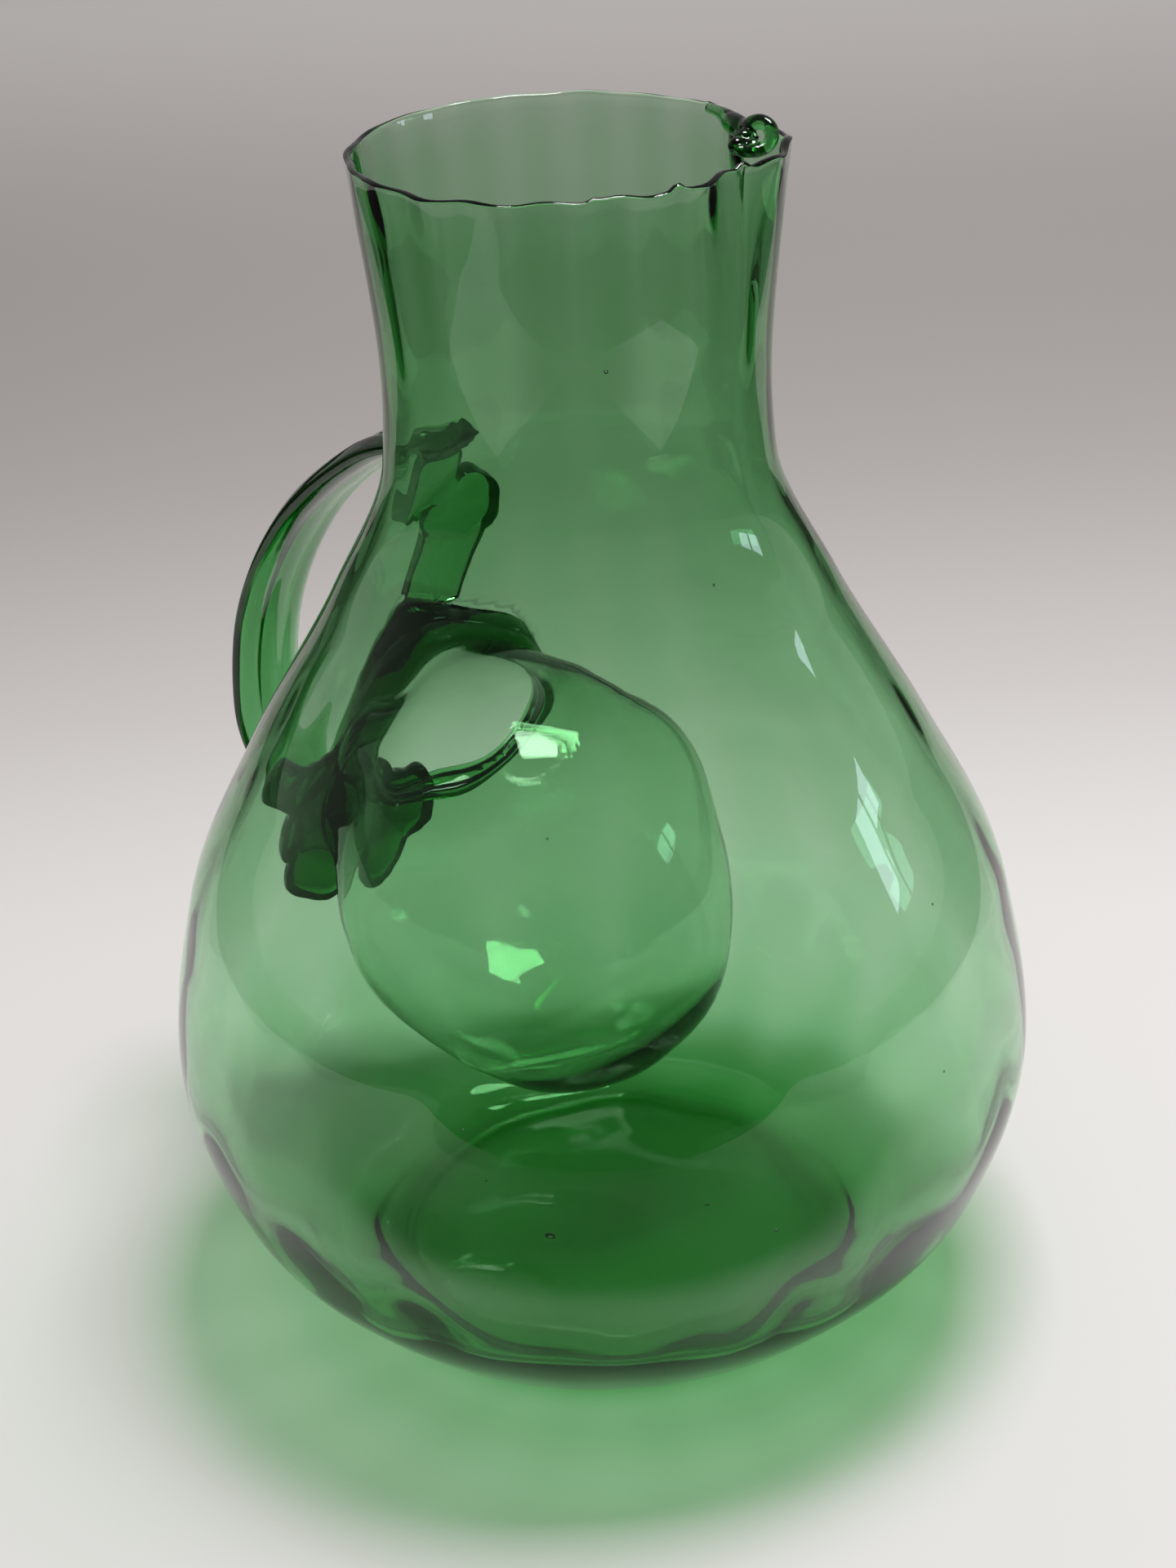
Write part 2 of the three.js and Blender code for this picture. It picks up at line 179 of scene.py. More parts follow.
class Path:
    """A sampled curve that gives the point and direction at a distance along it"""

    def __init__(self, samples):
        self.samples = samples
        self.marks = [0.0]
        for a, b in zip(samples, samples[1:]):
            self.marks.append(self.marks[-1] + (b - a).length)
        self.length = self.marks[-1]

    def at(self, distance):
        i = 0
        while i < len(self.marks) - 2 and self.marks[i + 1] < distance:
            i += 1
        a, b = self.samples[i], self.samples[i + 1]
        along = (b - a).normalized()
        return a + along * (distance - self.marks[i]), along


# The vessel's shape, which everything else sits on
RIM_WALL = 1.5 * MM
RIM_TAPER = 14 * MM
# Share of a rib's height that shows outside, where the wall follows it the other way
RIBS_OUTSIDE = 0.25
UNEVENNESS = 0.45 * MM


class Vessel:
    """The blown vessel: its outer radius and wall by height, and places on its wall"""

    def __init__(self, sizes):
        self.sizes = sizes
        top = sizes.height
        # Height and outer radius, then height and wall, from the foot to the rim
        self.radius = curve_through([
            (0.0, sizes.foot_radius), (15 * MM, 74.1 * MM), (36 * MM, 90.5 * MM),
            (sizes.belly_height, sizes.belly_radius), (102 * MM, 92.6 * MM), (138 * MM, 75.8 * MM),
            (174 * MM, 55.1 * MM), (205 * MM, sizes.neck_radius + MM),
            (sizes.neck_height, sizes.neck_radius), (top, sizes.rim_radius),
        ])
        self.wall = curve_through([
            (0.0, sizes.floor_thickness), (15 * MM, 3.5 * MM), (36 * MM, 1.9 * MM),
            (sizes.belly_height, sizes.belly_wall), (138 * MM, 1.5 * MM),
            (sizes.neck_height, sizes.neck_wall), (top - RIM_TAPER, sizes.neck_wall), (top, RIM_WALL),
        ])

    def slope(self, z):
        return (self.radius(z + MM / 2) - self.radius(z - MM / 2)) / MM

    def inner_radius(self, z):
        return self.radius(z) - self.wall(z) * hypot(1, self.slope(z))

    def direction(self, angle):
        """Unit direction on the ground: 0 is the back and a quarter turn is the left"""
        return Vector((-sin(angle), cos(angle), 0))

    def point(self, angle, z, offset=0.0):
        out = self.direction(angle)
        normal = Vector((out.x, out.y, -self.slope(z))).normalized()
        spot = out * self.radius(z)
        spot.z = z
        return spot + normal * offset

    def ribs(self, p):
        """Height of the optic ribs inside: strong at the foot, faint on the shoulder, plainer at the rim"""
        angle = atan2(p.y, p.x)
        foot = 0.8 * smoothstep((66 * MM - p.z) / (46 * MM))
        shoulder = -0.22 * smoothstep((p.z - 150 * MM) / (40 * MM))
        neck = 0.5 * smoothstep((p.z - 214 * MM) / (30 * MM))
        strength = 0.35 + foot + shoulder + neck
        sway = 1.4 * wobble(Vector((p.x, p.y, p.z * 0.25)), 60 * MM)
        return self.sizes.rib_depth * strength * cos(self.sizes.rib_count * angle + sway)

    def unevenness(self, p):
        """How far hand blowing pushed the wall out of round"""
        return smoothstep(p.z / (8 * MM)) * UNEVENNESS * wobble(p, 55 * MM, 3.0)

    def depth(self, p):
        """Distance of a point outside the wall, square to it, and the wall's outward normal there"""
        r = hypot(p.x, p.y)
        slope = self.slope(p.z)
        normal = Vector((p.x / r, p.y / r, -slope)).normalized()
        outside = self.radius(p.z) + self.unevenness(p) - RIBS_OUTSIDE * self.ribs(p)
        return (r - outside) / hypot(1, slope), normal


class Mouth:
    """The pocket's mouth: its centre on the wall, its axis out of the jug, and two directions across"""

    def __init__(self, vessel, pocket):
        self.vessel = vessel
        self.centre = vessel.point(pocket.mouth_heading, pocket.mouth_height)
        self.axis = (vessel.point(pocket.mouth_heading, pocket.mouth_height, 1.0) - self.centre).normalized()
        self.across = Vector((0, 0, 1)).cross(self.axis).normalized()
        self.up = self.axis.cross(self.across)

    def split(self, p):
        """Radius, angle and distance along the axis of a point"""
        q = p - self.centre
        x, y = q.dot(self.across), q.dot(self.up)
        return hypot(x, y), atan2(y, x), q.dot(self.axis)

    def place(self, radius, angle, along):
        return (self.centre + self.across * (radius * cos(angle))
                + self.up * (radius * sin(angle)) + self.axis * along)

    def rise(self, radius, angle):
        """How far the curved wall lies along the axis"""
        along = 0.0
        for _ in range(12):
            p = self.place(radius, angle, along)
            along -= hypot(p.x, p.y) - self.vessel.radius(p.z)
        return along


# Making pieces
def new_mesh(name, bm):
    """Turns a bmesh into a mesh, and frees it"""
    mesh = bpy.data.meshes.new(name)
    bm.to_mesh(mesh)
    bm.free()
    return mesh


def new_object(name, data):
    holder = bpy.data.objects.new(name, data)
    bpy.context.scene.collection.objects.link(holder)
    return holder


def finish_piece(name, bm, material, nodes):
    """Turns a bmesh into a piece that rides on the frame and stands for the named nodes"""
    for face in bm.faces:
        face.smooth = True
    piece = new_object(name, new_mesh(name, bm))
    piece.data.materials.append(material)
    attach(piece, ROOT)
    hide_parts(*nodes)


def face_outwards(bm):
    """Turns a closed skin's faces outwards, also where it is bent so far that its middle lies outside it"""
    bmesh.ops.recalc_face_normals(bm, faces=bm.faces)
    if bm.calc_volume(signed=True) < 0:
        bmesh.ops.reverse_faces(bm, faces=bm.faces)


def spun(profile, steps, close_line=False):
    """A skin turned round the Z axis from a line of (radius, height) points"""
    bm = bmesh.new()
    verts = [bm.verts.new((r, 0, z)) for r, z in profile]
    pairs = list(zip(verts, verts[1:]))
    if close_line:
        pairs.append((verts[-1], verts[0]))
    edges = [bm.edges.new(pair) for pair in pairs]
    bmesh.ops.spin(bm, geom=verts + edges, cent=(0, 0, 0), axis=(0, 0, 1), dvec=(0, 0, 0),
                   angle=2 * pi, steps=steps, use_merge=True, use_duplicate=False)
    bmesh.ops.remove_doubles(bm, verts=bm.verts, dist=1e-7)
    bmesh.ops.dissolve_degenerate(bm, edges=bm.edges, dist=1e-8)
    bmesh.ops.delete(bm, geom=[edge for edge in bm.edges if edge.is_wire], context="EDGES")
    face_outwards(bm)
    return bm


def pulled(section, steps, segments):
    """A closed rod one unit long, from a section given as a function of the angle round it"""
    bm = bmesh.new()
    ring = bmesh.ops.create_circle(bm, cap_ends=False, segments=segments, radius=1)["verts"]
    for vert in ring:
        x, y = section(atan2(vert.co.y, vert.co.x))
        vert.co = Vector((x, y, 0))
    bmesh.ops.spin(bm, geom=list(bm.verts) + list(bm.edges), cent=(0, 0, 0), axis=(0, 0, 1),
                   dvec=(0, 0, 1 / steps), angle=0, steps=steps, use_merge=False, use_duplicate=False)
    bmesh.ops.holes_fill(bm, edges=[e for e in bm.edges if e.is_boundary], sides=segments)
    face_outwards(bm)
    return bm


def bend_along(bm, path, side, width_at=None):
    """Lays a unit rod along a path. X follows the side direction, and width_at swells or narrows it"""
    for vert in bm.verts:
        t = min(max(vert.co.z, 0.0), 1.0)
        centre, along = path.at(t * path.length)
        across = (side - along * side.dot(along)).normalized()
        normal = along.cross(across)
        scale = width_at(t) if width_at else 1.0
        vert.co = centre + across * (vert.co.x * scale) + normal * (vert.co.y * scale)
    face_outwards(bm)


def round_ends(radius):
    """Swells a rod from nothing at both ends, as a dome"""
    def width(t, rod_length):
        reach = min(min(t, 1 - t) * rod_length / radius, 1.0)
        return max(0.06, sqrt(1 - (1 - reach) ** 2))

    return width


def circle_section(radius):
    return lambda angle: (radius * cos(angle), radius * sin(angle))


def squared(value, power):
    """A sine or cosine pushed outwards, which squares up a round section"""
    return copysign(abs(value) ** power, value)


def add_into(bm, other):
    """Adds one bmesh's solid to another, and frees it"""
    holder = new_mesh("holder", other)
    bm.from_mesh(holder)
    bpy.data.meshes.remove(holder)


def relax(bm, verts):
    """Evens out the faces round the given points by one step"""
    bmesh.ops.smooth_vert(bm, verts=verts, factor=0.5, use_axis_x=True, use_axis_y=True, use_axis_z=True)


def fuse(bm, voxel, smoothing):
    """Melts the overlapping solids of a bmesh into one skin"""
    mesh = new_mesh("melt", bm)
    holder = new_object("melt", mesh)
    remesh = holder.modifiers.new("melt", "REMESH")
    remesh.mode = "VOXEL"
    remesh.voxel_size = voxel
    fused = holder.evaluated_get(bpy.context.evaluated_depsgraph_get()).to_mesh()
    melted = bmesh.new()
    melted.from_mesh(fused)
    bpy.data.objects.remove(holder)
    bpy.data.meshes.remove(mesh)
    for _ in range(smoothing):
        relax(melted, melted.verts)
    return melted


def lay_on_wall(bm, vessel, spots, width_at):
    """Lays a unit rod on the wall so that it keeps its thickness, whatever way the wall curves.

    Each spot is a heading in degrees, a height and a distance off the wall, both in millimetres.
    """
    middle = vessel.radius(sum(spot[1] for spot in spots) / len(spots) * MM)
    unrolled = [Vector((radians(turn) * middle, z * MM, out * MM)) for turn, z, out in spots]
    path = Path(smooth_path(unrolled))
    for vert in bm.verts:
        t = min(max(vert.co.z, 0.0), 1.0)
        spot, along = path.at(t * path.length)
        scale = width_at(t, path.length)
        across = Vector((along.y, -along.x)).normalized() * (vert.co.x * scale)
        z = spot.y + across.y
        angle = spot.x / middle + across.x / vessel.radius(z)
        vert.co = vessel.point(angle, z, spot.z + vert.co.y * scale)
    face_outwards(bm)


def press_on_wall(bm, vessel, sink, close_gap):
    """Flattens a soft lump against the wall, sunk a little way into it, so the two look fused.

    An underside that hangs no farther off the wall than close_gap is pressed down with the rest.
    """
    bm.normal_update()
    for vert in bm.verts:
        depth, normal = vessel.depth(vert.co)
        hangs = vert.normal.dot(normal) < -0.35 and depth < close_gap
        if depth < -sink or hangs:
            vert.co += normal * (-sink - depth)


def lump(bm, centre, normal, across, radii):
    """Adds one rounded lump, given its radii across, along and out of the wall"""
    along = normal.cross(across).normalized()
    place = Matrix((across * radii[0], along * radii[1], normal * radii[2])).transposed().to_4x4()
    place.translation = centre
    bmesh.ops.create_icosphere(bm, subdivisions=4, radius=1, matrix=place)


def lump_on_wall(bm, vessel, angle, z, radii):
    """Adds one rounded lump whose middle lies on the wall, with its radii in millimetres"""
    centre = vessel.point(angle, z)
    normal = (vessel.point(angle, z, 1.0) - centre).normalized()
    lump(bm, centre, normal, vessel.direction(angle + pi / 2), [radius * MM for radius in radii])


def wobble(p, size, seed=0.0):
    """Smooth noise between about -1 and 1 for a feature size in metres"""
    return noise.noise(Vector((p.x / size + seed, p.y / size, p.z / size)))


# Materials
def linear(colour):
    """An sRGB hex colour as linear red, green, blue and alpha"""
    value = int(colour.lstrip("#"), 16)
    channels = [(value >> shift & 255) / 255 for shift in (16, 8, 0)]
    return tuple(c / 12.92 if c <= 0.04045 else ((c + 0.055) / 1.055) ** 2.4 for c in channels) + (1.0,)


def add_node(tree, kind, links=None, **settings):
    """Adds a shader node with its settings, and links its inputs to outputs or to other nodes' first ones"""
    node = tree.nodes.new("ShaderNode" + kind)
    for key, value in settings.items():
        if key.startswith("in_"):
            name = key[3:].replace("_", " ")
            node.inputs[int(name) if name.isdigit() else name].default_value = value
        else:
            setattr(node, key, value)
    for socket, source in (links or {}).items():
        output = source.outputs[0] if isinstance(source, bpy.types.Node) else source
        tree.links.new(output, node.inputs[socket])
    return node


def new_material(name):
    material = bpy.data.materials.new(name)
    material.use_nodes = True
    material.node_tree.nodes.clear()
    return material, material.node_tree


GLASS_IOR = 1.52
# Real scuffs are hair-fine. They are drawn this coarse, because finer ones wouldn't show.
SCUFF_GRAIN = 0.9 * MM
SCUFF_HEIGHT = 1.2 * MM
SCUFF_ROUGHNESS = 0.22
SMEAR_SIZE = 26 * MM
SMEAR_ROUGHNESS = 0.03


def blown_glass(name, depth_of_colour, cord_size, cord_height):
    """Soda-lime glass coloured in the melt: clear and glossy, darker green where it is thick.

    Cords, the faint streaks that gathering leaves, bend what is seen through the wall.
    """
    if name in bpy.data.materials:
        return bpy.data.materials[name]
    look = bpy.context.scene.jug_glass
    material, tree = new_material(name)
    spot = add_node(tree, "TexCoord").outputs["Object"]
    stretched = add_node(tree, "Mapping", {"Vector": spot}, in_Scale=(1, 1, 0.35))
    cords = add_node(tree, "TexNoise", {"Vector": stretched},
                     in_Scale=1 / cord_size, in_Detail=2.0, in_Roughness=0.45)
    bump = add_node(tree, "Bump", {"Height": cords}, in_Strength=1.0, in_Distance=cord_height)

    # Scuffs dull the ring that rubs on the table, and handling leaves faint smears higher up
    height = add_node(tree, "SeparateXYZ", {"Vector": spot}).outputs["Z"]
    near_foot = add_node(tree, "MapRange", {"Value": height},
                         in_From_Min=0.0, in_From_Max=SCUFF_HEIGHT, in_To_Min=1.0, in_To_Max=0.0)
    scuffs = add_node(tree, "TexNoise", {"Vector": spot}, in_Scale=1 / SCUFF_GRAIN, in_Detail=3.0)
    scuffed = add_node(tree, "Math", {0: near_foot, 1: scuffs}, operation="MULTIPLY")
    smears = add_node(tree, "TexNoise", {"Vector": spot}, in_Scale=1 / SMEAR_SIZE, in_Detail=4.0)
    smeared = add_node(tree, "MapRange", {"Value": smears},
                       in_From_Min=0.5, in_From_Max=0.8, in_To_Min=0.0, in_To_Max=SMEAR_ROUGHNESS)
    roughness = add_node(tree, "Math", {0: scuffed, 2: smeared},
                         operation="MULTIPLY_ADD", in_1=SCUFF_ROUGHNESS)

    glass = add_node(tree, "BsdfPrincipled", {"Normal": bump, "Roughness": roughness},
                     in_Base_Color=linear("#FFFFFF"), in_IOR=GLASS_IOR, in_Transmission_Weight=1.0)
    # Lamp light and soft light pass straight through, and the glass they cross tints them
    path = add_node(tree, "LightPath")
    lets_pass = add_node(tree, "Math",
                         {0: path.outputs["Is Shadow Ray"], 1: path.outputs["Is Diffuse Ray"]},
                         operation="MAXIMUM")
    clear = add_node(tree, "BsdfTransparent", in_Color=linear("#FFFFFF"))
    surface = add_node(tree, "MixShader", {0: lets_pass, 1: glass, 2: clear})
    tint = add_node(tree, "VolumeAbsorption",
                    in_Color=(0.0, look.green_kept, look.blue_kept, 1.0),
                    in_Density=look.density * depth_of_colour)
    add_node(tree, "OutputMaterial", {"Surface": surface, "Volume": tint})
    return material


def thin_glass():
    """Free-blown walls: pale green, with broad and very faint cords"""
    return blown_glass("Blown green soda-lime glass", 1.0, cord_size=22 * MM, cord_height=0.05 * MM)


def worked_glass():
    """Pulled and pressed bits: the same green, with the tighter cords that pulling leaves"""
    return blown_glass("Hot-worked green soda-lime glass", 0.95, cord_size=9 * MM, cord_height=0.08 * MM)


def clotted_glass():
    """Bits gathered over again, which come out a deeper green"""
    return blown_glass("Twice-gathered green soda-lime glass", 2.0, cord_size=9 * MM, cord_height=0.06 * MM)


# Paper colours from near to far, with painted shade that dips behind the jug and lifts again farthest off:
# the distance behind the jug in metres, and the shade there
PAPER_PAINTED_SHADES = ((-0.1, "#EAE7E6"), (0.15, "#E8E5E4"), (0.3, "#CFCAC8"), (0.52, "#ADA7A5"),
                (0.85, "#B3ADAB"), (1.15, "#D4CECC"), (1.5, "#FFFBF9"))
# Where the unlit studio, painted dark, begins for what the glass mirrors, to the sides and in front, in
# metres
PAPER_SIDE = 0.5
PAPER_FRONT = -0.475
# Painted shade, seen only in what the glass mirrors: the unlit studio past the paper, and a painted shadow in
# front of the jug
MIRRORED_SHADE = "#3A3635"


def paper_floor():
    """Matt backdrop paper: plain, pale and slightly warm, with painted shade in its colour that dips softly
    towards the far side.

    Past the paper's lit part the studio is dark, painted as shade, and a painted shadow lies on the paper
    right in front of the jug. Only what the glass mirrors shows these.
    """
    material, tree = new_material("Matt backdrop paper")
    spot = add_node(tree, "TexCoord").outputs["Object"]
    place = add_node(tree, "SeparateXYZ", {"Vector": spot})
    # Painted shade: the paper's colour darkens in a band behind the jug and lifts again farthest off
    nearest, farthest = PAPER_PAINTED_SHADES[0][0], PAPER_PAINTED_SHADES[-1][0]
    far = add_node(tree, "MapRange", {"Value": place.outputs["Y"]},
                   in_From_Min=nearest, in_From_Max=farthest)
    shade = add_node(tree, "ValToRGB", {"Fac": far})
    ramp = shade.color_ramp
    ramp.interpolation = "B_SPLINE"
    for i, (distance, colour) in enumerate(PAPER_PAINTED_SHADES):
        share = (distance - nearest) / (farthest - nearest)
        stop = ramp.elements[i] if i < 2 else ramp.elements.new(share)
        stop.position = share
        stop.color = linear(colour)

    sideways = add_node(tree, "Math", {0: place.outputs["X"]}, operation="ABSOLUTE")
    beside = add_node(tree, "Math", {0: sideways}, operation="GREATER_THAN", in_1=PAPER_SIDE)
    in_front = add_node(tree, "Math", {0: place.outputs["Y"]}, operation="LESS_THAN", in_1=PAPER_FRONT)
    off_paper = add_node(tree, "Math", {0: beside, 1: in_front}, operation="MAXIMUM")
    # Painted shadow: what the glass mirrors is painted dark right in front of the jug too
    middle = add_node(tree, "MapRange", {"Value": sideways}, interpolation_type="SMOOTHSTEP",
                      in_From_Min=0.1, in_From_Max=0.42, in_To_Min=0.85, in_To_Max=0.0)
    ahead = add_node(tree, "MapRange", {"Value": place.outputs["Y"]},
                     interpolation_type="SMOOTHSTEP",
                     in_From_Min=-0.16, in_From_Max=-0.1, in_To_Min=1.0, in_To_Max=0.0)
    painted_shadow = add_node(tree, "Math", {0: middle, 1: ahead}, operation="MULTIPLY")
    darker = add_node(tree, "Math", {0: off_paper, 1: painted_shadow}, operation="MAXIMUM")
    path = add_node(tree, "LightPath")
    mirrored = add_node(tree, "Math", {0: path.outputs["Glossy Depth"]}, operation="MINIMUM", in_1=1.0)
    dark = add_node(tree, "Math", {0: darker, 1: mirrored}, operation="MULTIPLY")
    # Mirrored rays see the painted shade and the painted shadow in place of the paper's colour
    seen = add_node(tree, "Mix", {0: dark, 6: shade}, data_type="RGBA", in_7=linear(MIRRORED_SHADE))
    matt = add_node(tree, "BsdfPrincipled", {"Base Color": seen.outputs[2]}, in_Roughness=0.9, in_IOR=1.45)
    add_node(tree, "OutputMaterial", {"Surface": matt})
    return material


# The jug body
RIM_RIPPLE = 0.28 * MM
RIM_WAVE = 0.9 * MM
RIM_BAND = 14 * MM
# Small teeth left by the shears: degrees from the lip and height in millimetres
RIM_TEETH = ((-33.5, 1.4), (-60.5, 1.2), (43, 0.4), (-84, 0.5))
# Where the rim is pinched or flattened: degrees from the lip, share of the pinch's depth, and how many
# degrees it spreads before and after
PINCHES = ((20, 1.0, 10, 14), (54, 0.46, 20, 22), (-38, 0.68, 9, 8.5), (-68, 0.45, 38, 28))
PINCH_FALL = 30 * MM


def pinch(sizes, angle, z):
    """How far the pinches push the rim in, at an angle from +X"""
    fall = smoothstep((z - sizes.height + PINCH_FALL) / PINCH_FALL)
    dents = 0.0
    for at, share, before, after in PINCHES:
        away = degrees(angle) - at
        dents += share * exp(-(away / (before if away < 0 else after)) ** 2)
    return sizes.pinch_depth * fall * dents


# The ring round the pocket's mouth, by degrees round it from its left side upwards: how far its outer edge
# spreads, in millimetres. It is pulled up to a point where the handle's tail runs into it.
COLLAR_SPREAD = curve_through([(-180, 0), (8, 0), (30, 2.5), (48, 8), (60, 14), (71, 19.5), (80, 15),
                               (91, 8.7), (107, 5.2), (124, 4), (150, 1), (180, 0)])
# How far the hole in the body stops short of the ring's outer edge, which then covers the cut
COLLAR_LAP = 1.4 * MM


def collar_edge(pocket, angle):
    return pocket.collar_radius + COLLAR_SPREAD(degrees(angle)) * MM


# The mould left two low rings where the floor turns up into the wall: radius and height in millimetres
FLOOR_RINGS = ((49.5, 0.55), (56, 0.45))
FLOOR_RING_WIDTH = 0.9 * MM
# Finer rings run round the inside just above them, and faint streaks all the way up
COVE_RINGS = 0.22 * MM
INNER_STREAKS = 0.16 * MM


def body_profile(vessel):
    """The vessel's section: up the outside, over the rounded rim, down the inside and over the floor"""
    sizes = vessel.sizes
    # The rows lie closer together at the foot
    rows = 118
    top = sizes.height - RIM_WALL / 2
    heights = [top * (i / rows) ** 1.15 for i in range(rows + 1)]
    outside = [(vessel.radius(z), z) for z in heights]
    middle = sizes.rim_radius - RIM_WALL / 2
    rim = [(middle + RIM_WALL * 0.56 * cos(a), top + RIM_WALL * 0.5 * sin(a))
           for a in (radians(d) for d in range(20, 180, 20))]
    inside_bottom = 12 * MM
    inside = [(vessel.inner_radius(z), z) for z in reversed(heights) if z > inside_bottom]
    wall_foot = Vector((vessel.inner_radius(inside_bottom), inside_bottom))
    floor_edge = Vector((43 * MM, sizes.floor_thickness))
    knee = Vector((60 * MM, sizes.floor_thickness + 0.4 * MM))
    cove = []
    for i in range(33):
        t = i / 32
        spot = wall_foot * (1 - t) ** 2 + knee * (2 * t * (1 - t)) + floor_edge * t ** 2
        ring = sum(tall * MM * exp(-((spot.x - at * MM) / FLOOR_RING_WIDTH) ** 2)
                   for at, tall in FLOOR_RINGS)
        cove.append((spot.x, spot.y + ring))
    under = [(sizes.foot_radius * i / 12, 0.0) for i in range(12)]
    floor = [(floor_edge.x * (1 - i / 10), sizes.floor_thickness) for i in range(1, 11)]
    return under + outside + rim + inside + cove + floor


def shape_body(bm, vessel):
    """Gives the skin its optic ribs, hand-blown unevenness, rippled rim and pinched lip"""
    sizes = vessel.sizes
    for vert in bm.verts:
        x, y, z = vert.co
        r = hypot(x, y)
        if r < 1e-5:
            continue
        angle = atan2(y, x)
        wall_middle = vessel.radius(z) - vessel.wall(z) * 0.5 * hypot(1, vessel.slope(z))
        is_inside = r < wall_middle and z > sizes.floor_thickness * 0.5
        push = vessel.ribs(vert.co) * (1.0 if is_inside else -RIBS_OUTSIDE) + vessel.unevenness(vert.co)
        ground = Vector((x, y, 0))
        if is_inside:
            streaks = wobble(Vector((x, y, z * 1.7)), 21 * MM, 7.0) * smoothstep((z - 6 * MM) / (8 * MM))
            rings = smoothstep((z - 6.5 * MM) / (3 * MM)) * smoothstep((26 * MM - z) / (9 * MM))
            push += INNER_STREAKS * streaks
            push += COVE_RINGS * rings * sin(z / (1.5 * MM) + 2.2 * wobble(ground, 50 * MM))
        # The rim ripples with the ribs and wanders by hand, more in front than at the back
        rim = smoothstep((z - sizes.height + RIM_BAND) / RIM_BAND)
        front = 0.3 + 0.7 * smoothstep(0.6 - y / sizes.rim_radius)
        wave = 0.7 * RIM_WAVE * wobble(ground, 13 * MM, 11.0)
        push += rim * front * (RIM_RIPPLE * cos(sizes.rib_count * angle + 0.6) + wave)
        push -= pinch(sizes, angle, z)
        if z < 0.5 * MM:
            push = 0.0
        vert.co.x = x * (r + push) / r
        vert.co.y = y * (r + push) / r
        wave = RIM_WAVE * wobble(ground, 11 * MM, 5.0)
        lift = RIM_RIPPLE * cos(sizes.rib_count * angle + 2.0) + wave
        edge = smoothstep((z - sizes.height + 5 * MM) / (5 * MM))
        teeth = sum(tall * MM * exp(-(degrees(angle) - at) ** 2 / 2.2) for at, tall in RIM_TEETH)
        vert.co.z += rim * front * lift + edge * teeth


def open_mouth(bm, mouth, edge_at):
    """Cuts the hole in the back wall that the collar fills, given its radius by the angle round the mouth"""
    vessel = mouth.vessel
    cut_depth = 32 * MM
    evened_band = 5 * MM

    def near(p, margin=0.0):
        out, angle, along = mouth.split(p)
        return out < edge_at(angle) + margin and along > -cut_depth

    cut = [face for face in bm.faces if near(face.calc_center_median())]
    bmesh.ops.delete(bm, geom=cut, context="FACES")
    rim = [edge for edge in bm.edges if edge.is_boundary]
    edge_verts = {v for edge in rim for v in edge.verts}
    for vert in edge_verts:
        out, angle, along = mouth.split(vert.co)
        radius = edge_at(angle)
        vert.co = mouth.place(radius, angle, along + mouth.rise(radius, angle) - mouth.rise(out, angle))

    # Even out the faces beside the cut, and keep both skins on the wall
    beside = [v for v in bm.verts if v not in edge_verts and near(v.co, evened_band)]
    depths = {v: vessel.depth(v.co)[0] for v in beside}
    for _ in range(8):
        relax(bm, beside)
        for vert in beside:
            depth, normal = vessel.depth(vert.co)
            vert.co += normal * (depths[vert] - depth)
    bmesh.ops.bridge_loops(bm, edges=rim)
    face_outwards(bm)


def add_bubbles(bm, vessel):
    """Air bubbles trapped in the floor and wall, as cavities whose faces look inwards"""
    sizes = vessel.sizes
    floor_middle = sizes.floor_thickness * 0.5
    spots = [(Vector((-15.5 * MM, -4 * MM, floor_middle)), 1.25 * MM),
             (Vector((24 * MM, 8 * MM, floor_middle)), 0.5 * MM),
             (Vector((-30 * MM, 21 * MM, floor_middle)), 0.35 * MM)]
    seeds = ((200, 70, 0.32), (162, 96, 0.3), (235, 120, 0.28), (188, 236, 0.42), (214, 190, 0.3),
             (150, 52, 0.36), (172, 150, 0.26), (205, 44, 0.34), (228, 88, 0.3), (183, 110, 0.26))
    for turn, z, radius in seeds:
        z *= MM
        spots.append((vessel.point(radians(turn), z, -vessel.wall(z) / 2), radius * MM))
    for centre, radius in spots:
        made = bmesh.ops.create_uvsphere(bm, u_segments=16, v_segments=10, radius=radius,
                                         matrix=Matrix.Translation(centre))
        faces = list({face for vert in made["verts"] for face in vert.link_faces})
        bmesh.ops.reverse_faces(bm, faces=faces)


class JUG_OT_blow_body(bpy.types.Operator):
    """Blow the jug body: flat foot, wide belly, neck and pinched rim"""

    bl_idname = "jug.blow_body"
    bl_label = "Blow the Jug Body"

    def execute(self, context):
        vessel = Vessel(context.scene.jug_sizes)
        pocket = context.scene.jug_pocket
        bm = spun(body_profile(vessel), steps=240)
        shape_body(bm, vessel)
        open_mouth(bm, Mouth(vessel, pocket), lambda angle: collar_edge(pocket, angle) - COLLAR_LAP)
        add_bubbles(bm, vessel)
        finish_piece("jug_body_glass", bm, thin_glass(), ["jug_body", "jug_neck"])
        return {"FINISHED"}


